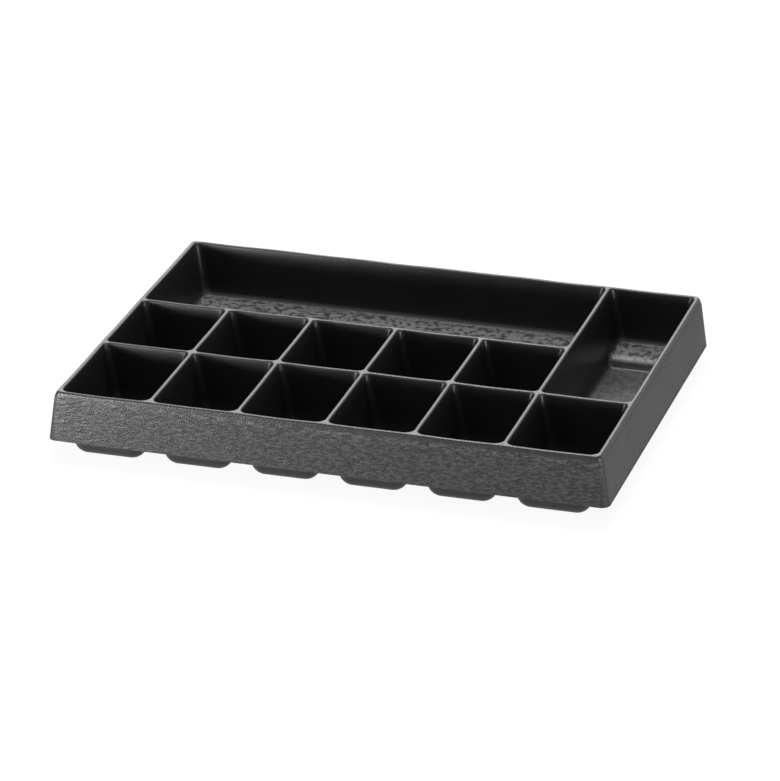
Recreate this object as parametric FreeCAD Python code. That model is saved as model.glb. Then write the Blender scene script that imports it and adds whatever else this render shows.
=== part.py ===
import FreeCAD
import Part
import math
import os

# Thermoformed drawer-insert tray, one vacuum-formed sheet, all lengths in mm.
# X is the long side, Y runs from front (-) to back (+), Z is up.
# The pocket bottoms rest on Z = 0 and the rim is at Z = HEIGHT.

# overall
HEIGHT = 68.5            # pocket underside to rim top
SHEET = 1.5              # formed wall thickness
SKIRT_DROP = 51.8        # rim top to the trimmed lower edge of the skirt

# divider grid, measured between ridge centre lines
PITCH = 89.0             # one small pocket, left to right
END_PITCH = 93.45        # the two end columns are a little wider
ROW_FRONT = 130.4        # depth of the front row
ROW_MIDDLE = 115.9       # depth of the second row
ROW_BACK = 166.9         # depth of the long compartment
RIDGE = 4.0              # width of a ridge before its edges are rounded
RIDGE_ROUND = 1.75       # rounding of every ridge and rim edge

# pocket walls
DRAFT_X = 0.165          # lean of the left and right walls, mm per mm of depth
DRAFT_Y = 0.075          # lean of the front and back walls
CORNER = 7.5             # plan radius of a pocket corner, the same from rim to floor
CORNER_RIM = 9.5         # the same, where a front pocket meets the front rim
FLOOR_ROUND = 9.5        # radius between wall and floor
MOUTH_BANDS = 2          # flat bands that make up a ridge's rounded edge
INSIDE_BANDS = 2         # the same for a floor edge, inside the pocket
UNDER_BANDS = 2          # and for a floor edge, on the underside
CLEAR = 1.0              # how far a cutting form runs past the face that it opens

# ledge along the back wall, shared by the two long compartments
LEDGE_DEPTH = 57.0       # rim top to the ledge
LEDGE_WIDTH = 40.5       # back wall (at ledge level) to the ledge's front edge
LEDGE_LEAN = 0.35        # lean of the riser below the ledge
LEDGE_ROUND = 4.0        # rounding of the ledge's front edge
LEDGE_FOOT = 8.0         # radius between riser and floor
LEDGE_SPARE = 20.0       # how far the form under the ledge runs past the compartment

# skirt
SHOULDER_DROP = 6.0      # rim top to the shoulder line
SHOULDER_X = 4.8         # shoulder beyond the end ridges
SHOULDER_Y = 2.8         # shoulder beyond the front and back ridges
SKIRT_X = 11.7           # lower edge beyond the end ridges
SKIRT_Y = 4.3            # lower edge beyond the front and back ridges
SKIRT_CORNER = 7.0       # plan radius of the skirt's corners
SHOULDER_SOFT = 3.0      # half the height over which the shoulder line is softened

# ridge centre lines
X_LINES = [-END_PITCH - 2 * PITCH, -2 * PITCH, -PITCH, 0.0, PITCH, 2 * PITCH, 2 * PITCH + END_PITCH]
TOTAL_Y = ROW_FRONT + ROW_MIDDLE + ROW_BACK
Y_LINES = [-TOTAL_Y / 2, -TOTAL_Y / 2 + ROW_FRONT, TOTAL_Y / 2 - ROW_BACK, TOTAL_Y / 2]
FLOOR_DEPTH = HEIGHT - SHEET


def outline(box, z, radii):
    """Edges of a rectangle (x0, y0, x1, y1) with rounded corners, lines and arcs in turn."""
    x0, y0, x1, y1 = box
    fl, fr, br, bl = radii
    k = 1 - math.sqrt(0.5)
    p = [(x0 + fl, y0), (x1 - fr, y0), (x1 - fr * k, y0 + fr * k), (x1, y0 + fr),
         (x1, y1 - br), (x1 - br * k, y1 - br * k), (x1 - br, y1), (x0 + bl, y1),
         (x0 + bl * k, y1 - bl * k), (x0, y1 - bl), (x0, y0 + fl), (x0 + fl * k, y0 + fl * k)]
    v = [FreeCAD.Vector(a, b, z) for a, b in p]
    return [Part.makeLine(v[0], v[1]), Part.Arc(v[1], v[2], v[3]).toShape(),
            Part.makeLine(v[3], v[4]), Part.Arc(v[4], v[5], v[6]).toShape(),
            Part.makeLine(v[6], v[7]), Part.Arc(v[7], v[8], v[9]).toShape(),
            Part.makeLine(v[9], v[10]), Part.Arc(v[10], v[11], v[0]).toShape()]


def stack(rings):
    """Solid through outlines from top to bottom: flat sides, and each corner arc swept straight on."""
    faces = [Part.Face(Part.Wire(rings[0])), Part.Face(Part.Wire(rings[-1]))]
    for upper, lower in zip(rings, rings[1:]):
        for a, b in zip(upper, lower):
            start, end = a.valueAt(a.FirstParameter), a.valueAt(a.LastParameter)
            low_start, low_end = b.valueAt(b.FirstParameter), b.valueAt(b.LastParameter)
            if a.Curve.TypeId == "Part::GeomLine":
                side = [start, end, low_end, low_start, start]
                faces.append(Part.Face(Part.makePolygon(side)))
            else:
                faces.append(a.extrude(low_start - start))
    return Part.Solid(Part.makeShell(faces))


def bend(radius, bands):
    """A rounded right-angled edge laid in flat bands that touch the true curve.

    Gives (step in from the first flat, distance left to the second) at each fold.
    """
    turn = math.pi / 2 / (bands + 1)
    reach = radius / math.cos(turn / 2)
    angles = [turn * (k + 0.5) for k in range(bands + 1)]
    return [(radius - reach * math.cos(a), radius - reach * math.sin(a)) for a in angles]


def pocket_ring(cell, depth, grow, draw_in):
    """Outline of a pocket at a depth below the rim.

    grow moves the wall out by the sheet thickness, draw_in moves it in along a rounded edge.
    """
    x0, y0, x1, y1 = cell
    ix = RIDGE / 2 + DRAFT_X * depth - grow + draw_in
    iy = RIDGE / 2 + DRAFT_Y * depth - grow + draw_in
    front = (CORNER_RIM if y0 == Y_LINES[0] else CORNER) + grow
    radii = [front, front, CORNER + grow, CORNER + grow]
    return outline((x0 + ix, y0 + iy, x1 - ix, y1 - iy), HEIGHT - depth, radii)


def floor_rings(cell, grow, bands):
    """Outlines down the rounded edge between wall and floor, the floor's own outline last."""
    bottom = FLOOR_DEPTH + grow
    folds = bend(FLOOR_ROUND + grow, bands)
    return [pocket_ring(cell, bottom - rise, grow, step) for step, rise in folds]


def mouth_rings(cell):
    """Outlines down the rounded edge of a ridge, from above the rim to the start of the wall."""
    folds = bend(RIDGE_ROUND, MOUTH_BANDS)[::-1]
    above = pocket_ring(cell, -CLEAR, 0.0, -folds[0][0])
    return [above] + [pocket_ring(cell, depth, 0.0, -step) for step, depth in folds]


def ledge_start(cell, grow):
    """Outline of a long compartment where its back wall starts to curve into the ledge."""
    return pocket_ring(cell, LEDGE_DEPTH - FLOOR_ROUND, grow, 0.0)


def pocket_inside(cell, ledged):
    """Hollow of a compartment, open past the rim."""
    walls = [ledge_start(cell, 0.0)] if ledged else []
    form = stack(mouth_rings(cell) + walls + floor_rings(cell, 0.0, INSIDE_BANDS))
    return form.cut(ledge_blank(cell, 0.0)) if ledged else form


def pocket_outside(cell, ledged):
    """Underside form of a compartment, starting within the sheet at the rim."""
    walls = [pocket_ring(cell, SHEET / 2, SHEET, 0.0)]
    if ledged:
        walls.append(ledge_start(cell, SHEET))
    form = stack(walls + floor_rings(cell, SHEET, UNDER_BANDS))
    return form.cut(ledge_blank(cell, SHEET)) if ledged else form


def arc_through(centre, radius, start, stop):
    """Arc in the YZ plane between two angles in degrees, measured from +Y towards +Z."""
    points = []
    for angle in (start, (start + stop) / 2, stop):
        a = math.radians(angle)
        points.append(FreeCAD.Vector(0, centre[0] + radius * math.cos(a), centre[1] + radius * math.sin(a)))
    return Part.Arc(points[0], points[1], points[2]).toShape()


def lean_reach(radius, lean):
    """How far along a flat a rounded edge starts, where the flat meets a surface leaning back."""
    return radius * math.tan(math.radians((90 - lean) / 2))


def ledge_blank(cell, grow):
    """What fills a long compartment under its ledge: a side view with a rounded foot and crest,
    and a curve up into the back wall, drawn out along X."""
    x0, y0, x1, y1 = cell
    lean = math.degrees(math.atan(LEDGE_LEAN))
    back_lean = math.degrees(math.atan(DRAFT_Y))
    floor = HEIGHT - FLOOR_DEPTH - grow
    top = HEIGHT - LEDGE_DEPTH - grow
    wall = y1 - RIDGE / 2 - DRAFT_Y * LEDGE_DEPTH
    front = wall - LEDGE_WIDTH + lean_reach(grow, lean)
    wall += lean_reach(grow, back_lean)
    crest_round = LEDGE_ROUND - grow
    foot_round = LEDGE_FOOT + grow
    back_round = FLOOR_ROUND + grow
    foot_y = front - LEDGE_LEAN * (top - floor) - lean_reach(foot_round, lean)
    crest_y = front + lean_reach(crest_round, lean)
    back_y = wall - lean_reach(back_round, back_lean)
    arcs = [arc_through((foot_y, floor + foot_round), foot_round, -90, -lean),
            arc_through((crest_y, top - crest_round), crest_round, 180 - lean, 90),
            arc_through((back_y, top + back_round), back_round, -90, -back_lean)]
    ends = [(a.valueAt(a.FirstParameter), a.valueAt(a.LastParameter)) for a in arcs]
    low = FreeCAD.Vector(0, foot_y, floor - LEDGE_SPARE)
    high = FreeCAD.Vector(0, y1 + LEDGE_SPARE, ends[2][1].z)
    deep = FreeCAD.Vector(0, high.y, low.z)
    edges = [Part.makeLine(low, ends[0][0]), arcs[0], Part.makeLine(ends[0][1], ends[1][0]), arcs[1],
             Part.makeLine(ends[1][1], ends[2][0]), arcs[2], Part.makeLine(ends[2][1], high),
             Part.makeLine(high, deep), Part.makeLine(deep, low)]
    face = Part.Face(Part.Wire(edges))
    face.translate(FreeCAD.Vector(x0 - LEDGE_SPARE, 0, 0))
    return face.extrude(FreeCAD.Vector(x1 - x0 + 2 * LEDGE_SPARE, 0, 0))


def skirt_offset(depth, shoulder, lower):
    """How far the skirt's outer face stands beyond the ridge centre line at a depth below the rim."""
    upper_lean = (shoulder - RIDGE / 2) / SHOULDER_DROP
    lower_lean = (lower - shoulder) / (SKIRT_DROP - SHOULDER_DROP)
    start = SHOULDER_DROP - SHOULDER_SOFT
    if depth <= start:
        return RIDGE / 2 + upper_lean * depth
    if depth >= SHOULDER_DROP + SHOULDER_SOFT:
        return shoulder + lower_lean * (depth - SHOULDER_DROP)
    run = depth - start
    return RIDGE / 2 + upper_lean * depth + (lower_lean - upper_lean) * run * run / (4 * SHOULDER_SOFT)


def skirt_block(inset):
    """Outer form of the rim, shoulder and flared skirt, drawn in by the wall thickness."""
    folds = [(inset, 0.0)]
    if not inset:
        folds = [(depth, step) for step, depth in bend(RIDGE_ROUND, MOUTH_BANDS)[::-1]]
    folds += [(SHOULDER_DROP + SHOULDER_SOFT * k, 0.0) for k in (-1, 0, 1)]
    folds.append((SKIRT_DROP + (CLEAR if inset else 0.0), 0.0))
    rings = []
    for depth, draw_in in folds:
        x = X_LINES[-1] + skirt_offset(depth, SHOULDER_X, SKIRT_X) - inset - draw_in
        y = Y_LINES[-1] + skirt_offset(depth, SHOULDER_Y, SKIRT_Y) - inset - draw_in
        rings.append(outline((-x, -y, x, y), HEIGHT - depth, [SKIRT_CORNER - inset] * 4))
    return stack(rings)


def cells():
    """Every compartment as (x0, y0, x1, y1) on the ridge centre lines: plain ones, then ledged ones."""
    plain = [(X_LINES[i], Y_LINES[0], X_LINES[i + 1], Y_LINES[1]) for i in range(6)]
    plain += [(X_LINES[i], Y_LINES[1], X_LINES[i + 1], Y_LINES[2]) for i in range(5)]
    ledged = [(X_LINES[0], Y_LINES[2], X_LINES[5], Y_LINES[3]),
              (X_LINES[5], Y_LINES[1], X_LINES[6], Y_LINES[3])]
    return plain, ledged


def build():
    """The whole tray: skirt shell, pockets hung in it, then every hollow cut."""
    plain, ledged = cells()
    body = skirt_block(0.0).cut(skirt_block(SHEET))
    forms = [pocket_outside(c, False) for c in plain] + [pocket_outside(c, True) for c in ledged]
    hollows = [pocket_inside(c, False) for c in plain] + [pocket_inside(c, True) for c in ledged]
    return body.fuse(forms).cut(hollows)


os.makedirs("parts", exist_ok=True)
tray = build()
print("solids", len(tray.Solids), "valid", tray.isValid(), "volume", round(tray.Volume, 1))
print("box", tray.BoundBox)
tray.Solids[0].exportStep("parts/tray.step")
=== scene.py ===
import math

import bmesh
import bpy
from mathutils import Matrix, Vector


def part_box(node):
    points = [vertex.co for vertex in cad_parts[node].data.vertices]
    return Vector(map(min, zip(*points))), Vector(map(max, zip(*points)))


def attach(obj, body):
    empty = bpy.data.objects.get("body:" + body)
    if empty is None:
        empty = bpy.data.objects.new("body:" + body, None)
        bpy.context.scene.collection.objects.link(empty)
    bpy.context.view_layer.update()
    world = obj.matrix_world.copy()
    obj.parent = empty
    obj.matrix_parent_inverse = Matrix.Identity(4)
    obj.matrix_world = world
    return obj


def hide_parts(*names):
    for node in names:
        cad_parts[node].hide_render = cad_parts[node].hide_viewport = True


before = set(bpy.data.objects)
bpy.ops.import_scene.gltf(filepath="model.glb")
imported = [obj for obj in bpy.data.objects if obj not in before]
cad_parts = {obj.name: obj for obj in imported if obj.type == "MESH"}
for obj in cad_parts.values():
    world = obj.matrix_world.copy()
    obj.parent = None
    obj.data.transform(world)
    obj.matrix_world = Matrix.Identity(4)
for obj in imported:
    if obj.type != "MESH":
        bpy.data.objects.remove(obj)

bl_info = {
    "name": "Formed Drawer Tray",
    "version": (1, 0, 0),
    "blender": (4, 5, 0),
    "location": "View3D > Sidebar > Tray",
    "description": "Builds a vacuum-formed drawer tray in grained black plastic, and a plain studio",
    "category": "Object",
}

MM = 0.001
QUARTER = math.pi / 2
BOX_LOW, BOX_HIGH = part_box("tray")
HEIGHT = BOX_HIGH.z

# skirt, measured outwards from the outermost ridge lines
SHOULDER_X = 4.8 * MM               # shoulder line, left and right
SHOULDER_Y = 2.8 * MM               # shoulder line, front and back
SKIRT_X = 11.7 * MM                 # lower edge, left and right
SKIRT_Y = 4.3 * MM                  # lower edge, front and back
SHOULDER_DROP = 6 * MM              # rim to the shoulder line
SHOULDER_SOFT = 3 * MM              # half the height over which the shoulder is softened
SKIRT_CORNER = 5.5 * MM             # plan radius of the skirt's corners at the rim
SKIRT_CORNER_GROWTH = 3.5 * MM      # how much that radius grows down to the lower edge
SKIRT_DEPTHS = [d * MM for d in (3, 4, 5, 6, 7, 8, 9, 13, 20, 28, 36, 44)]

# ledge of the two long compartments
RISER_LEAN = 0.35                   # lean of the riser, mm per mm of height
RISER_FOOT = 3 * MM                 # the riser's curve starts this far in front of its foot
RISER_CREST = 2 * MM                # and ends this far behind its crest

# ridge sag
SAG_DEPTH = 16 * MM                 # depth below the rim at which the sag has died out
SAG_UNEVEN = 0.3                    # share of the sag that comes and goes over the tray
SAG_WAVES = (31.0, 17.0)            # its waves along X and Y, radians per metre

# mesh density
ARC = 8                             # segments in a quarter corner, an even number
ROUND = 5                           # segments in a rounded edge
WALL_BANDS = 5                      # bands down a pocket wall
STEP = 11 * MM                      # spacing of stations along a straight wall
CORNER_ROOM = 13 * MM               # distance from a ridge line to the first plain station
RISER_STATIONS = 16                 # stations over the riser of the ledge
RISER_MARGIN = 5 * MM               # how far they reach in front of it and behind it

# places and tolerances
PLACES = 7                          # decimals to which stations are rounded, in metres
TOUCH = 1e-6                        # two places on a ridge line closer than this are one
WELD = 2e-6                         # points closer than this are merged
SHARP = math.radians(40)            # edges with a greater turn stay sharp

# leather grain, scales in cells per metre
WARP_SCALE = 160.0
WARP_REACH = 2.6 * MM
CREASE_SCALE = (80.0, 80.0, 260.0)  # creases are long and thin
CREASE_TURN = math.radians(62)      # and slant over the skirt
PATCH_SCALE = 38.0
CLOUD_SCALE = 14.0
FLECK_SCALE = 2.2                   # flecks to one crease
PEBBLE_HEIGHT = 0.12                # shares of the grain's depth
CREASE_HEIGHT = 0.6
WALL_GRAIN = 0.08                   # what is left of the grain on the smooth walls
PLASTIC_IOR = 1.42
BUMP_STRENGTH = 0.8

# where the finish, the painted light and the painted shade change, each as (starts, complete)
SKIRT_FROM = (1.5 * MM, 3.0 * MM)   # beyond the outermost ridge lines
FLANK_FROM = (2.5 * MM, 4.5 * MM)   # the same, for the left and right faces alone, which get painted shade
LOW_FROM = (24 * MM, 12 * MM)       # heights: the grained surfaces inside
LEDGE_FROM = (6 * MM, 10 * MM)      # above the floors: painted light on the ledge, painted shade on the floors below
BAND_FROM = (64.5 * MM, 61 * MM)    # below the painted dark band under the rim, which is painted shade
STRIP_FROM = (56 * MM, 60 * MM)     # the painted highlight, the palest band of the skirt
LEVEL_FROM = (0.75, 0.97)           # upward part of the normal on a level surface, painted lighter as if lit from above

# studio
WHITE = (1.0, 1.0, 1.0, 1.0)
SWEEP_PAINT = (0.86, 0.86, 0.86, 1.0)
SWEEP_GLOW = 0.93                   # share of the sweep that shows as plain white
SWEEP_HALF = 9.0
SWEEP_CELLS = 8
SWEEP_GAP = 0.2 * MM                # keeps the sweep clear of the tray's underside
SENSOR_WIDTH = 36.0
CLIP_END = 60.0
CAMERA_PLACE = (1.2328, -4.1368, 1.8926)
CAMERA_AZIMUTH = math.radians(16.535)
CAMERA_ELEVATION = math.radians(23.491)
# name, setting that holds its power, place, width, height
SOFT_BOXES = (
    ("back_box", "back", (-0.9, 3.0, 1.7), 3.4, 1.3),
    ("top_box", "key", (-0.2, 0.55, 2.2), 1.2, 0.7),
    ("side_box", "side", (-0.66, -0.80, 0.09), 0.45, 0.14),
    ("edge_box", "edge", (1.05, -0.50, 0.10), 0.30, 0.16),
)


# ---------------------------------------------------------------- settings

class TrayForm(bpy.types.PropertyGroup):
    """Sizes of the formed sheet"""
    sheet: bpy.props.FloatProperty(
        name="Sheet", description="Wall thickness of the formed sheet",
        default=1.5 * MM, unit="LENGTH")
    pitch: bpy.props.FloatProperty(
        name="Pitch", description="Width of one small pocket on the ridge lines",
        default=89 * MM, unit="LENGTH")
    row_front: bpy.props.FloatProperty(
        name="Front row", description="Depth of the front row of pockets",
        default=130.4 * MM, unit="LENGTH")
    row_middle: bpy.props.FloatProperty(
        name="Second row", description="Depth of the second row of pockets",
        default=115.9 * MM, unit="LENGTH")
    ridge: bpy.props.FloatProperty(
        name="Ridge", description="Width of a ridge before rounding",
        default=4 * MM, unit="LENGTH")
    ridge_round: bpy.props.FloatProperty(
        name="Ridge rounding", description="Radius of ridge and rim edges",
        default=1.75 * MM, unit="LENGTH")
    lean_x: bpy.props.FloatProperty(
        name="Side lean", description="Lean of the left and right pocket walls", default=0.165)
    lean_y: bpy.props.FloatProperty(
        name="Front lean", description="Lean of the front and back pocket walls", default=0.075)
    corner_top: bpy.props.FloatProperty(
        name="Corner at rim", description="Plan radius of a pocket corner at the rim",
        default=6 * MM, unit="LENGTH")
    corner_rim: bpy.props.FloatProperty(
        name="Corner at front rim", description="Plan radius of a front pocket's front corners",
        default=9 * MM, unit="LENGTH")
    corner_low: bpy.props.FloatProperty(
        name="Corner at floor", description="Plan radius of a pocket corner at the floor",
        default=11.5 * MM, unit="LENGTH")
    floor_round: bpy.props.FloatProperty(
        name="Floor rounding", description="Radius between wall and floor in the small pockets",
        default=9.5 * MM, unit="LENGTH")
    ledge_round: bpy.props.FloatProperty(
        name="Ledge rounding", description="Radius between wall and floor in the long compartments",
        default=6 * MM, unit="LENGTH")
    ledge_depth: bpy.props.FloatProperty(
        name="Ledge depth", description="Rim to the ledge at the back",
        default=57 * MM, unit="LENGTH")
    ledge_width: bpy.props.FloatProperty(
        name="Ledge width", description="Back wall to the ledge's front edge",
        default=40.5 * MM, unit="LENGTH")
    skirt_drop: bpy.props.FloatProperty(
        name="Skirt", description="Rim to the trimmed lower edge",
        default=51.8 * MM, unit="LENGTH")
    sag: bpy.props.FloatProperty(
        name="Ridge sag", description="How far a long ridge dips between crossings",
        default=0.6 * MM, unit="LENGTH")


class TrayFinish(bpy.types.PropertyGroup):
    """Colour, sheen and grain of the plastic; the paler colour also carries painted light and shade"""
    colour: bpy.props.FloatVectorProperty(
        name="Plastic", description="Body colour of the sheet", subtype="COLOR", size=3,
        default=(0.008, 0.008, 0.0085))
    # paler colour: the grain's own tint, which also carries painted light on level surfaces and painted
    # shade and highlight on the skirt
    pale_grain_and_painted_light: bpy.props.FloatVectorProperty(
        name="Grained plastic", description="Paler colour on the grain of the skirt and floors",
        subtype="COLOR", size=3, default=(0.085, 0.085, 0.086))
    roughness: bpy.props.FloatProperty(
        name="Roughness", description="Mean roughness of the sheet", default=0.31, subtype="FACTOR")
    grain: bpy.props.FloatProperty(
        name="Grain size", description="Size of one cell of the leather grain",
        default=2.2 * MM, unit="LENGTH")
    grain_depth: bpy.props.FloatProperty(
        name="Grain depth", description="Height of the leather grain",
        default=1.3 * MM, unit="LENGTH")


class StudioLight(bpy.types.PropertyGroup):
    """Lights and lens"""
    ambient: bpy.props.FloatProperty(
        name="Ambient", description="Strength of the white surroundings on the object", default=0.45)
    key: bpy.props.FloatProperty(
        name="Key", description="Power of the soft box above", default=70.0, unit="POWER")
    back: bpy.props.FloatProperty(
        name="Back", description="Power of the low soft box behind", default=50.0, unit="POWER")
    side: bpy.props.FloatProperty(
        name="Side", description="Power of the low soft box at the front left",
        default=11.0, unit="POWER")
    edge: bpy.props.FloatProperty(
        name="Edge", description="Power of the low soft box at the front right",
        default=5.0, unit="POWER")
    camera_lens: bpy.props.FloatProperty(
        name="Lens", description="Focal length of the camera",
        default=216.3, subtype="DISTANCE_CAMERA")


SETTINGS = {"tray_form": TrayForm, "tray_finish": TrayFinish, "tray_light": StudioLight}


# ---------------------------------------------------------------- tray form

class Grid:
    """Ridge lines and the stations along them, shared by every pocket and by the skirt."""

    def __init__(self, form):
        self.form = form
        self.end_x = BOX_HIGH.x - SKIRT_X
        self.end_y = BOX_HIGH.y - SKIRT_Y
        inner = [form.pitch * k for k in (-2, -1, 0, 1, 2)]
        self.xs = [-self.end_x] + inner + [self.end_x]
        second = -self.end_y + form.row_front
        self.ys = [-self.end_y, second, second + form.row_middle, self.end_y]
        self.corner = form.corner_top + form.ridge_round
        self.inset = form.ridge / 2 - form.ridge_round

    def cells(self):
        """(first column, last column, first row, last row) of every compartment."""
        front = [(i, i + 1, 0, 1) for i in range(6)]
        middle = [(i, i + 1, 1, 2) for i in range(5)]
        return front + middle + [(0, 5, 2, 3), (5, 6, 1, 3)]

    def crossing(self, at):
        """Stations where two pocket corners meet at a ridge line."""
        turns = [math.sin(QUARTER * k / ARC) for k in range(ARC // 2)]
        marks = [self.inset + self.corner * (1 - turn) for turn in turns]
        return [at - m for m in marks] + [at] + [at + m for m in reversed(marks)]

    def stations(self, lines, first, last, riser):
        """Places along a wall between two ridge lines, corners left out."""
        marks = []
        for k in range(first, last):
            low, high = lines[k] + CORNER_ROOM, lines[k + 1] - CORNER_ROOM
            count = max(2, round((high - low) / STEP))
            marks += [low + (high - low) * n / count for n in range(count + 1)]
            if k > first:
                marks += self.crossing(lines[k])
        if riser:
            low = riser[0] - RISER_MARGIN
            reach = riser[1] - riser[0] + 2 * RISER_MARGIN
            marks += [low + reach * n / RISER_STATIONS for n in range(RISER_STATIONS + 1)]
        return sorted(set(round(m, PLACES) for m in marks))

    def riser_span(self):
        """Where the riser of the ledge starts and ends, front to back."""
        form = self.form
        back_wall = self.end_y - form.ridge / 2 - form.lean_y * form.ledge_depth
        crest = back_wall - form.ledge_width
        return crest - RISER_LEAN * (HEIGHT - form.sheet - form.ledge_depth), crest


class Pocket:
    """One compartment: loops of points round it at any level."""

    def __init__(self, grid, cell, grow):
        self.grid = grid
        self.form = grid.form
        self.grow = grow
        i0, i1, j0, j1 = cell
        self.x0, self.x1 = grid.xs[i0], grid.xs[i1]
        self.y0, self.y1 = grid.ys[j0], grid.ys[j1]
        self.at_front = j0 == 0
        self.ledged = j1 == len(grid.ys) - 1
        self.foot, self.crest = grid.riser_span()
        riser = (self.foot, self.crest) if self.ledged else None
        self.marks_x = grid.stations(grid.xs, i0, i1, None)
        self.marks_y = grid.stations(grid.ys, j0, j1, riser)

    def floor(self, y):
        """Depth of the floor below the rim at a distance from the front."""
        deep = HEIGHT - self.form.sheet + self.grow
        if not self.ledged:
            return deep
        high = self.form.ledge_depth + self.grow
        run = self.crest - self.foot + RISER_FOOT + RISER_CREST
        share = min(1.0, max(0.0, (y - self.foot + RISER_FOOT) / run))
        return deep + (high - deep) * share * share * (3 - 2 * share)

    def floor_edge(self):
        """Radius between wall and floor."""
        return (self.form.ledge_round if self.ledged else self.form.floor_round) + self.grow

    def radius(self, depth, front, draw):
        """Plan radius of a corner at a depth."""
        form = self.form
        top = form.corner_rim if front and self.at_front else form.corner_top
        low = max(top, form.corner_low)
        return top + (low - top) * depth / HEIGHT + self.grow - draw

    def inset(self, lean, depth, draw):
        """Distance from the ridge line to a leaning wall at a depth."""
        return self.form.ridge / 2 + lean * depth - self.grow + draw

    def loop(self, level):
        """Points round the pocket. level(floor depth) gives (depth, draw in)."""
        form = self.form
        y_mid = (self.y0 + self.y1) / 2
        ends = []
        for y in (self.y0, self.y1):
            depth, draw = level(self.floor(y))
            inset_x = self.inset(form.lean_x, depth, draw)
            inset_y = self.inset(form.lean_y, depth, draw)
            ends.append((depth, inset_x, inset_y, self.radius(depth, y < y_mid, draw)))
        (d0, ix0, iy0, r0), (d1, ix1, iy1, r1) = ends
        front, back = self.y0 + iy0, self.y1 - iy1
        left0, right0 = self.x0 + ix0, self.x1 - ix0
        left1, right1 = self.x0 + ix1, self.x1 - ix1
        low_y, high_y = front + r0, back - r1
        rim = self.grid.inset + self.grid.corner

        def arc(cx, cy, r, start, depth):
            angles = [start + QUARTER * k / ARC for k in range(ARC + 1)]
            return [(cx + r * math.cos(a), cy + r * math.sin(a), HEIGHT - depth) for a in angles]

        def across(value, left, right, r):
            low, high = self.x0 + rim, self.x1 - rim
            return left + r + (right - left - 2 * r) * (value - low) / (high - low)

        def along(value):
            low, high = self.y0 + rim, self.y1 - rim
            return low_y + (high_y - low_y) * (value - low) / (high - low)

        sides = []
        for mark in self.marks_y:
            y = along(mark)
            depth, draw = level(self.floor(y))
            sides.append((self.inset(form.lean_x, depth, draw), y, HEIGHT - depth))
        front_row = [(across(m, left0, right0, r0), front, HEIGHT - d0) for m in self.marks_x]
        back_row = [(across(m, left1, right1, r1), back, HEIGHT - d1) for m in self.marks_x]
        points = arc(left0 + r0, low_y, r0, 2 * QUARTER, d0) + front_row
        points += arc(right0 - r0, low_y, r0, 3 * QUARTER, d0)
        points += [(self.x1 - inset, y, z) for inset, y, z in sides]
        points += arc(right1 - r1, high_y, r1, 0.0, d1) + back_row[::-1]
        points += arc(left1 + r1, high_y, r1, QUARTER, d1)
        points += [(self.x0 + inset, y, z) for inset, y, z in sides[::-1]]
        return points

    def outer(self, ring, z):
        """The same number of points on the ridge centre lines round the pocket."""
        corners = [(self.x0, self.y0), (self.x1, self.y0), (self.x1, self.y1), (self.x0, self.y1)]
        plain = [
            [(m, self.y0, z) for m in self.marks_x],
            [(self.x1, m, z) for m in self.marks_y],
            [(m, self.y1, z) for m in self.marks_x[::-1]],
            [(self.x0, m, z) for m in self.marks_y[::-1]],
        ]
        points = []
        for side, (cx, cy) in enumerate(corners):
            for k in range(ARC + 1):
                x, y, _ = ring[len(points)]
                if k == ARC // 2:
                    points.append((cx, cy, z))
                elif (k < ARC // 2) == (side % 2 == 0):
                    points.append((cx, y, z))
                else:
                    points.append((x, cy, z))
            points += plain[side]
        return points


def wall_levels(pocket):
    """Levels down a wall and round its floor edge, as functions of the floor depth."""
    radius = pocket.floor_edge()
    start = pocket.grow or pocket.form.ridge_round
    levels = []
    for k in range(WALL_BANDS + 1):
        levels.append(lambda deep, t=k / WALL_BANDS: (start + (deep - radius - start) * t, 0.0))
    for k in range(1, ROUND + 2):
        angle = QUARTER * k / (ROUND + 1)
        rise, draw = radius * (1 - math.sin(angle)), radius * (1 - math.cos(angle))
        levels.append(lambda deep, rise=rise, draw=draw: (deep - rise, draw))
    return levels


def mouth_levels(form):
    """Levels from the flat of the ridge round its edge, the wall's own start left out."""
    levels = []
    for k in range(ROUND, 0, -1):
        angle = QUARTER * k / ROUND
        depth = form.ridge_round * (1 - math.sin(angle))
        draw = -form.ridge_round * (1 - math.cos(angle))
        levels.append(lambda deep, depth=depth, draw=draw: (depth, draw))
    return levels


def bridge(bm, loops):
    """Quads between each closed loop and the next, all of the same length."""
    for upper, lower in zip(loops, loops[1:]):
        for k in range(len(upper)):
            n = (k + 1) % len(upper)
            bm.faces.new((upper[k], upper[n], lower[n], lower[k]))


def add_loop(bm, points):
    """Vertices at the points, in order."""
    return [bm.verts.new(p) for p in points]


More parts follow.
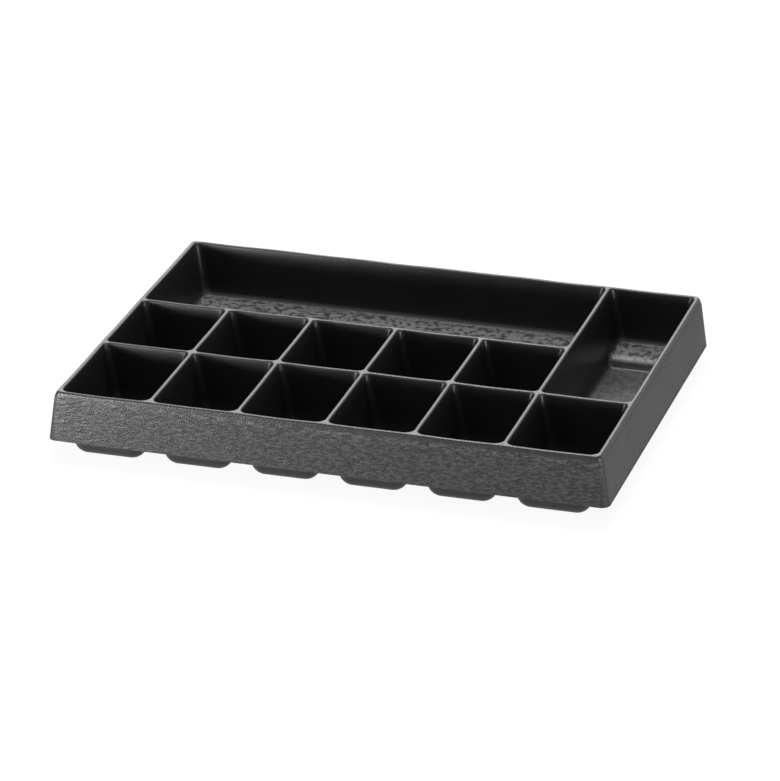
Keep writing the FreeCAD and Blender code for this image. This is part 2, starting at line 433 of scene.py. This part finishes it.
def fill_floor(bm, pocket, last, points):
    """Floor inside the last loop: corner fans, a border and a grid of quads."""
    count_x, count_y = len(pocket.marks_x), len(pocket.marks_y)
    radius = pocket.radius(pocket.floor(pocket.y0), True, pocket.floor_edge())
    xs = [p[0] for p in points[ARC + 1:ARC + 1 + count_x]]
    start = 2 * (ARC + 1) + count_x
    wall = points[start:start + count_y]
    front_left, front_right, back_right = points[0], points[start - 1], points[start + count_y]
    cols = [front_left[0] + radius] + xs + [front_right[0] - radius]
    rows = [front_left[1:]] + [p[1:] for p in wall] + [back_right[1:]]
    net = [[bm.verts.new((x, y, z)) for x in cols] for y, z in rows]
    for near, far in zip(net, net[1:]):
        for i in range(len(cols) - 1):
            bm.faces.new((near[i], near[i + 1], far[i + 1], far[i]))
    sides = [
        net[0][1:-1],
        [row[-1] for row in net[1:-1]],
        net[-1][1:-1][::-1],
        [row[0] for row in net[1:-1]][::-1],
    ]
    hubs = [net[0][0], net[0][-1], net[-1][-1], net[-1][0]]
    n = 0
    for side in range(4):
        for k in range(ARC):
            bm.faces.new((last[n + k], last[n + k + 1], hubs[side]))
        n += ARC
        inner = [hubs[side]] + sides[side] + [hubs[(side + 1) % 4]]
        for k in range(len(inner) - 1):
            bm.faces.new((last[n + k], last[(n + k + 1) % len(last)], inner[k + 1], inner[k]))
        n += len(inner) - 1


def skirt_reach(form, depth, shoulder, lower):
    """How far the outer face stands beyond the ridge line at a depth."""
    upper_lean = (shoulder - form.ridge / 2) / SHOULDER_DROP
    lower_lean = (lower - shoulder) / (form.skirt_drop - SHOULDER_DROP)
    if depth <= SHOULDER_DROP - SHOULDER_SOFT:
        return form.ridge / 2 + upper_lean * depth
    if depth >= SHOULDER_DROP + SHOULDER_SOFT:
        return shoulder + lower_lean * (depth - SHOULDER_DROP)
    run = depth - SHOULDER_DROP + SHOULDER_SOFT
    bend = (lower_lean - upper_lean) * run * run / (4 * SHOULDER_SOFT)
    return form.ridge / 2 + upper_lean * depth + bend


def perimeter(grid, pockets, tops):
    """Points on the outermost ridge lines in order, with a corner angle where one applies."""
    sides = [set(), set(), set(), set()]
    for pocket, top in zip(pockets, tops):
        for x, y, _ in pocket.outer(top, 0.0):
            x, y = round(x, PLACES), round(y, PLACES)
            if abs(y + grid.end_y) < TOUCH:
                sides[0].add(x)
            if abs(x - grid.end_x) < TOUCH:
                sides[1].add(y)
            if abs(y - grid.end_y) < TOUCH:
                sides[2].add(x)
            if abs(x + grid.end_x) < TOUCH:
                sides[3].add(y)
    runs = [sorted(sides[0]), sorted(sides[1]), sorted(sides[2])[::-1], sorted(sides[3])[::-1]]
    half = ARC // 2
    points = []
    for side, run in enumerate(runs):
        edge = (-grid.end_y, grid.end_x, grid.end_y, -grid.end_x)[side]
        middle = QUARTER * (2.5 + side)
        for k, value in enumerate(run[:-1]):
            place = (value, edge) if side % 2 == 0 else (edge, value)
            left = len(run) - 1 - k
            corner, angle = None, 0.0
            if k <= half:
                corner = side
                angle = middle + QUARTER / 2 * k / half
            elif left <= half:
                corner = (side + 1) % 4
                angle = middle + QUARTER - QUARTER / 2 * left / half
            points.append((place, side, corner, angle))
    return points


def skirt_loop(grid, rim, depth, inset, draw):
    """Loop of the skirt's face at a depth, moved in by the sheet and along a rounded edge."""
    form = grid.form
    out_x = grid.end_x + skirt_reach(form, depth, SHOULDER_X, SKIRT_X) - inset - draw
    out_y = grid.end_y + skirt_reach(form, depth, SHOULDER_Y, SKIRT_Y) - inset - draw
    radius = SKIRT_CORNER + SKIRT_CORNER_GROWTH * depth / form.skirt_drop - inset - draw
    signs = [(-1, -1), (1, -1), (1, 1), (-1, 1)]
    points = []
    for (x, y), side, corner, angle in rim:
        if corner is not None:
            sx, sy = signs[corner]
            px = sx * (out_x - radius) + radius * math.cos(angle)
            py = sy * (out_y - radius) + radius * math.sin(angle)
        elif side % 2 == 0:
            px, py = x, math.copysign(out_y, y)
        else:
            px, py = math.copysign(out_x, x), y
        points.append((px, py, HEIGHT - depth))
    return points


def add_pockets(bm, grid, grow, web):
    """Walls and floors of every compartment, and the perimeter of their outer points."""
    form = grid.form
    pockets = [Pocket(grid, cell, grow) for cell in grid.cells()]
    tops = []
    for pocket in pockets:
        levels = wall_levels(pocket) if grow else mouth_levels(form) + wall_levels(pocket)
        rings = [pocket.loop(level) for level in levels]
        tops.append(rings[0])
        loops = [add_loop(bm, points) for points in [pocket.outer(rings[0], web)] + rings]
        bridge(bm, loops)
        fill_floor(bm, pocket, loops[-1], rings[-1])
    return perimeter(grid, pockets, tops)


def tray_mesh(form):
    """The whole sheet, upper and under side, as one mesh."""
    bm = bmesh.new()
    grid = Grid(form)
    under_web = HEIGHT - form.sheet
    rim = add_pockets(bm, grid, 0.0, HEIGHT)
    under = add_pockets(bm, grid, form.sheet, under_web)
    edge = [QUARTER * k / ROUND for k in range(ROUND, -1, -1)]
    outer = [(form.ridge_round * (1 - math.sin(a)), form.ridge_round * (1 - math.cos(a))) for a in edge]
    outer += [(depth, 0.0) for depth in SKIRT_DEPTHS + [form.skirt_drop]]
    loops = [add_loop(bm, [(x, y, HEIGHT) for (x, y), *_ in rim])]
    loops += [add_loop(bm, skirt_loop(grid, rim, depth, 0.0, draw)) for depth, draw in outer]
    inner = [form.skirt_drop] + SKIRT_DEPTHS[::-1] + [form.sheet]
    loops += [add_loop(bm, skirt_loop(grid, under, depth, form.sheet, 0.0)) for depth in inner]
    loops.append(add_loop(bm, [(x, y, under_web) for (x, y), *_ in under]))
    bridge(bm, loops)
    bmesh.ops.remove_doubles(bm, verts=bm.verts, dist=WELD)
    bmesh.ops.recalc_face_normals(bm, faces=bm.faces)
    return bm, grid


def share_along(lines, value):
    """How far a value lies between the two ridge lines on either side of it, from 0 to 1."""
    spans = list(zip(lines, lines[1:]))
    low, high = next((span for span in spans if value <= span[1]), spans[-1])
    return min(1.0, max(0.0, (value - low) / (high - low)))


def sag_ridges(bm, grid):
    """Lets the ridges dip a little between their crossings, as a hot sheet does."""
    for v in bm.verts:
        if v.co.z < HEIGHT - SAG_DEPTH:
            continue
        shares = share_along(grid.xs, v.co.x), share_along(grid.ys, v.co.y)
        dip = max(math.sin(math.pi * share) for share in shares) ** 2
        wave = math.sin(v.co.x * SAG_WAVES[0] + v.co.y * SAG_WAVES[1])
        fade = (v.co.z - HEIGHT + SAG_DEPTH) / SAG_DEPTH
        v.co.z -= grid.form.sag * dip * (1 - SAG_UNEVEN + SAG_UNEVEN * wave) * fade


# ---------------------------------------------------------------- shader helpers

class Value:
    """A node socket that takes part in arithmetic; each operation adds a Math node."""

    def __init__(self, graph, socket):
        self.graph = graph
        self.socket = socket

    def math(self, operation, first, second):
        """A Math node on two values or numbers."""
        return self.graph.node("ShaderNodeMath", {"operation": operation}, {0: first, 1: second})

    def __add__(self, other):
        return self.math("ADD", self, other)

    def __radd__(self, other):
        return self.math("ADD", other, self)

    def __sub__(self, other):
        return self.math("SUBTRACT", self, other)

    def __rsub__(self, other):
        return self.math("SUBTRACT", other, self)

    def __mul__(self, other):
        return self.math("MULTIPLY", self, other)

    def __rmul__(self, other):
        return self.math("MULTIPLY", other, self)

    def __abs__(self):
        return self.graph.node("ShaderNodeMath", {"operation": "ABSOLUTE"}, {0: self})

    def larger(self, other):
        """The larger of two values."""
        return self.math("MAXIMUM", self, other)


class Graph:
    """Builds the nodes of one material or world."""

    def __init__(self, owner):
        owner.use_nodes = True
        self.tree = owner.node_tree
        self.tree.nodes.clear()

    def node(self, kind, settings=None, inputs=None, output=0):
        """A node of a type: its settings first, then values or links for its sockets."""
        made = self.tree.nodes.new(kind)
        for name, value in (settings or {}).items():
            setattr(made, name, value)
        for key, value in (inputs or {}).items():
            if isinstance(value, Value):
                self.tree.links.new(value.socket, made.inputs[key])
            else:
                made.inputs[key].default_value = value
        return Value(self, made.outputs[output]) if made.outputs else None

    def step(self, value, start, end, low=0.0, high=1.0):
        """Eases from low to high while the value goes from start to end."""
        sockets = {"Value": value, "From Min": start, "From Max": end, "To Min": low, "To Max": high}
        return self.node("ShaderNodeMapRange", {"interpolation_type": "SMOOTHSTEP"}, sockets)

    def noise(self, place, scale, detail, output=0):
        """Soft cloud noise; its outputs are a value and a colour."""
        sockets = {"Vector": place, "Scale": scale, "Detail": detail}
        return self.node("ShaderNodeTexNoise", {"noise_dimensions": "3D"}, sockets, output)

    def seen(self):
        """1 for rays from the eye, reflected or passed on, and 0 for light that falls on things."""
        names = ("Is Camera Ray", "Is Glossy Ray", "Is Transmission Ray")
        camera, glossy, through = (self.node("ShaderNodeLightPath", output=name) for name in names)
        return camera.larger(glossy).larger(through)


# ---------------------------------------------------------------- finishes

def leather(g, place, finish):
    """Height of a pebbled leather grain with creases in patches, and the flecks along them."""
    warp = g.noise(place, WARP_SCALE, 2.0, 1)
    drift = g.node("ShaderNodeVectorMath", {"operation": "MULTIPLY_ADD"},
                   {0: warp, 1: (WARP_REACH, WARP_REACH, WARP_REACH), 2: place})
    cells = g.node("ShaderNodeTexVoronoi", {"feature": "DISTANCE_TO_EDGE"},
                   {"Vector": drift, "Scale": 1 / finish.grain})
    pebble = g.step(cells, 0.0, 0.3)
    slant = g.node("ShaderNodeMapping", {"vector_type": "POINT"},
                   {"Vector": drift, "Rotation": (0.0, CREASE_TURN, 0.0), "Scale": CREASE_SCALE})
    creases = g.node("ShaderNodeTexNoise",
                     {"noise_dimensions": "3D", "noise_type": "RIDGED_MULTIFRACTAL"},
                     {"Vector": slant, "Scale": 1.0, "Detail": 2.0, "Roughness": 0.6})
    patch = g.step(g.noise(place, PATCH_SCALE, 2.0), 0.40, 0.62, 0.1)
    fleck = g.step(g.noise(slant, FLECK_SCALE, 1.0), 0.38, 0.64)
    return pebble * PEBBLE_HEIGHT + creases * patch * CREASE_HEIGHT, fleck


def grained_plastic(finish):
    """Black sheet: grained and paler on skirt, floors and ledge, smooth and dark on the walls. The
    paler colour carries painted light on level surfaces and a painted dark band, highlight and side
    shade on the skirt.
    """
    material = bpy.data.materials.new("grained_black_sheet")
    g = Graph(material)
    place = g.node("ShaderNodeTexCoord", output="Object")
    grain, fleck = leather(g, place, finish)
    x, y, z = (g.node("ShaderNodeSeparateXYZ", None, {0: place}, k) for k in range(3))
    beyond_x = abs(x) - (BOX_HIGH.x - SKIRT_X)
    beyond_y = abs(y) - (BOX_HIGH.y - SKIRT_Y)

    # where on the sheet: the skirt, its left and right sides, and the low surfaces inside
    skirt = g.step(beyond_x.larger(beyond_y), *SKIRT_FROM)
    flank = g.step(beyond_x, *FLANK_FROM)
    low = g.step(z, *LOW_FROM, 0.0, 0.6)
    normal = g.node("ShaderNodeNewGeometry", output="Normal")
    level = g.step(g.node("ShaderNodeSeparateXYZ", None, {0: normal}, 2), *LEVEL_FROM)
    # painted light: level surfaces low inside take the pale grain tint as if lit from above; the ledge
    # far more than the floors, which stay darker as painted shade
    floor = level * low * 1.6
    ledge = g.step(z, *LEDGE_FROM, 0.35, 2.4)

    # painted shade: the skirt is darkest just below the rim; painted highlight: it is palest in the
    # band under that; painted shade on the left and right faces, which take a quarter of the pale grain
    # tint
    below_painted_band = g.step(z, *BAND_FROM)
    strip = g.step(z, *STRIP_FROM, 0.0, 0.5)
    skirt_painted_light_and_shade = skirt * below_painted_band * (strip + 0.75) * (1 - flank * 0.75)

    bump = g.node("ShaderNodeBump", None, {
        "Strength": BUMP_STRENGTH,
        "Distance": finish.grain_depth,
        "Height": grain * (skirt.larger(low) * (1 - WALL_GRAIN) + WALL_GRAIN),
    })
    cloud = g.noise(place, CLOUD_SCALE, 4.0)
    smooth = finish.roughness - 0.06
    rough = cloud * 0.10 + low * 0.30 + skirt * 0.12 + flank * 0.16 + smooth
    # pale grain tint on the skirt, carrying the painted band, highlight and side shade above
    skirt_grain_and_painted_light = skirt_painted_light_and_shade * (grain * 0.35 + fleck * 0.42 - 0.04)
    # pale grain tint on level surfaces: painted light on the ledge, painted shade on the floors
    level_grain_and_painted_light = floor * ledge * (grain * 0.3 + fleck * 0.75)
    tint = g.node("ShaderNodeMix", {"data_type": "RGBA"}, {
        0: skirt_grain_and_painted_light + level_grain_and_painted_light,
        6: (*finish.colour, 1.0),
        7: (*finish.pale_grain_and_painted_light, 1.0),
    }, 2)
    shader = g.node("ShaderNodeBsdfPrincipled", None, {
        "Base Color": tint, "Roughness": rough, "IOR": PLASTIC_IOR, "Normal": bump})
    g.node("ShaderNodeOutputMaterial", None, {"Surface": shader})
    return material


def pale_floor():
    """White sweep: bright to the eye and in reflections, and it keeps a light shadow."""
    material = bpy.data.materials.new("pale_sweep")
    g = Graph(material)
    paint = g.node("ShaderNodeBsdfDiffuse", None, {"Color": SWEEP_PAINT})
    glow = g.node("ShaderNodeEmission", None, {"Color": WHITE, "Strength": 1.0})
    both = g.node("ShaderNodeMixShader", None, {0: g.seen() * SWEEP_GLOW, 1: paint, 2: glow})
    g.node("ShaderNodeOutputMaterial", None, {"Surface": both})
    return material


def white_surroundings(strength):
    """World that lights softly and is plain white to the eye and in reflections."""
    world = bpy.data.worlds.new("white_surroundings")
    g = Graph(world)
    soft = g.node("ShaderNodeBackground", None, {"Color": WHITE, "Strength": strength})
    white = g.node("ShaderNodeBackground", None, {"Color": WHITE, "Strength": 1.0})
    both = g.node("ShaderNodeMixShader", None, {0: g.seen(), 1: soft, 2: white})
    g.node("ShaderNodeOutputWorld", None, {"Surface": both})
    return world


# ---------------------------------------------------------------- stage

def sweep(scene):
    """The pale floor."""
    bm = bmesh.new()
    bmesh.ops.create_grid(bm, x_segments=SWEEP_CELLS, y_segments=SWEEP_CELLS, size=SWEEP_HALF)
    mesh = bpy.data.meshes.new("sweep")
    bm.to_mesh(mesh)
    bm.free()
    mesh.materials.append(pale_floor())
    floor = bpy.data.objects.new("sweep", mesh)
    floor.location.z = BOX_LOW.z - SWEEP_GAP
    scene.collection.objects.link(floor)


def aim(thing, direction):
    """Turns a lamp or camera to look along a direction."""
    thing.rotation_mode = "QUATERNION"
    thing.rotation_quaternion = direction.to_track_quat("-Z", "Y")


def soft_box(scene, name, place, width, height, power):
    """Rectangular lamp aimed at the tray."""
    data = bpy.data.lights.new(name, "AREA")
    data.shape = "RECTANGLE"
    data.size, data.size_y = width, height
    data.energy = power
    lamp = bpy.data.objects.new(name, data)
    lamp.location = place
    aim(lamp, -Vector(place))
    scene.collection.objects.link(lamp)


def add_camera(scene, lens):
    """Long lens from the front, a little to the right and above."""
    data = bpy.data.cameras.new("camera")
    data.lens = lens
    data.sensor_width = SENSOR_WIDTH
    data.clip_end = CLIP_END
    camera = bpy.data.objects.new("camera", data)
    camera.location = CAMERA_PLACE
    out = math.cos(CAMERA_ELEVATION)
    back = Vector((math.sin(CAMERA_AZIMUTH) * out, -math.cos(CAMERA_AZIMUTH) * out,
                   math.sin(CAMERA_ELEVATION)))
    aim(camera, -back)
    scene.collection.objects.link(camera)
    scene.camera = camera


# ---------------------------------------------------------------- operators

class TRAY_OT_sheet(bpy.types.Operator):
    """Builds the formed sheet with its pockets, ledge, ridges and skirt"""
    bl_idname = "tray.sheet"
    bl_label = "Formed sheet"

    def execute(self, context):
        bm, grid = tray_mesh(context.scene.tray_form)
        sag_ridges(bm, grid)
        mesh = bpy.data.meshes.new("formed_sheet")
        bm.to_mesh(mesh)
        bm.free()
        mesh.polygons.foreach_set("use_smooth", [True] * len(mesh.polygons))
        mesh.set_sharp_from_angle(angle=SHARP)
        mesh.materials.append(grained_plastic(context.scene.tray_finish))
        piece = bpy.data.objects.new("formed_sheet", mesh)
        context.scene.collection.objects.link(piece)
        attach(piece, "root")
        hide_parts("tray")
        return {"FINISHED"}


class TRAY_OT_studio(bpy.types.Operator):
    """Builds the pale floor, the soft lights and the camera"""
    bl_idname = "tray.studio"
    bl_label = "Studio"

    def execute(self, context):
        scene = context.scene
        light = scene.tray_light
        sweep(scene)
        for name, setting, place, width, height in SOFT_BOXES:
            soft_box(scene, name, place, width, height, getattr(light, setting))
        scene.world = white_surroundings(light.ambient)
        scene.view_settings.view_transform = "Standard"
        add_camera(scene, light.camera_lens)
        return {"FINISHED"}


OPERATORS = (TRAY_OT_sheet, TRAY_OT_studio)


class TRAY_PT_panel(bpy.types.Panel):
    """Lists the steps that build the tray"""
    bl_label = "Formed Drawer Tray"
    bl_idname = "TRAY_PT_panel"
    bl_space_type = "VIEW_3D"
    bl_region_type = "UI"
    bl_category = "Tray"

    def draw(self, context):
        for operator in OPERATORS:
            self.layout.operator(operator.bl_idname)


CLASSES = (TrayForm, TrayFinish, StudioLight, *OPERATORS, TRAY_PT_panel)


def register():
    """Adds the classes, and the settings to every scene."""
    for cls in CLASSES:
        bpy.utils.register_class(cls)
    for name, cls in SETTINGS.items():
        setattr(bpy.types.Scene, name, bpy.props.PointerProperty(type=cls))


def unregister():
    """Takes them out again."""
    for name in SETTINGS:
        delattr(bpy.types.Scene, name)
    for cls in reversed(CLASSES):
        bpy.utils.unregister_class(cls)


def main():
    """Builds the tray and the studio."""
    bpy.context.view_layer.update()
    register()
    bpy.ops.tray.sheet()
    bpy.ops.tray.studio()


if __name__ == "__main__":
    main()
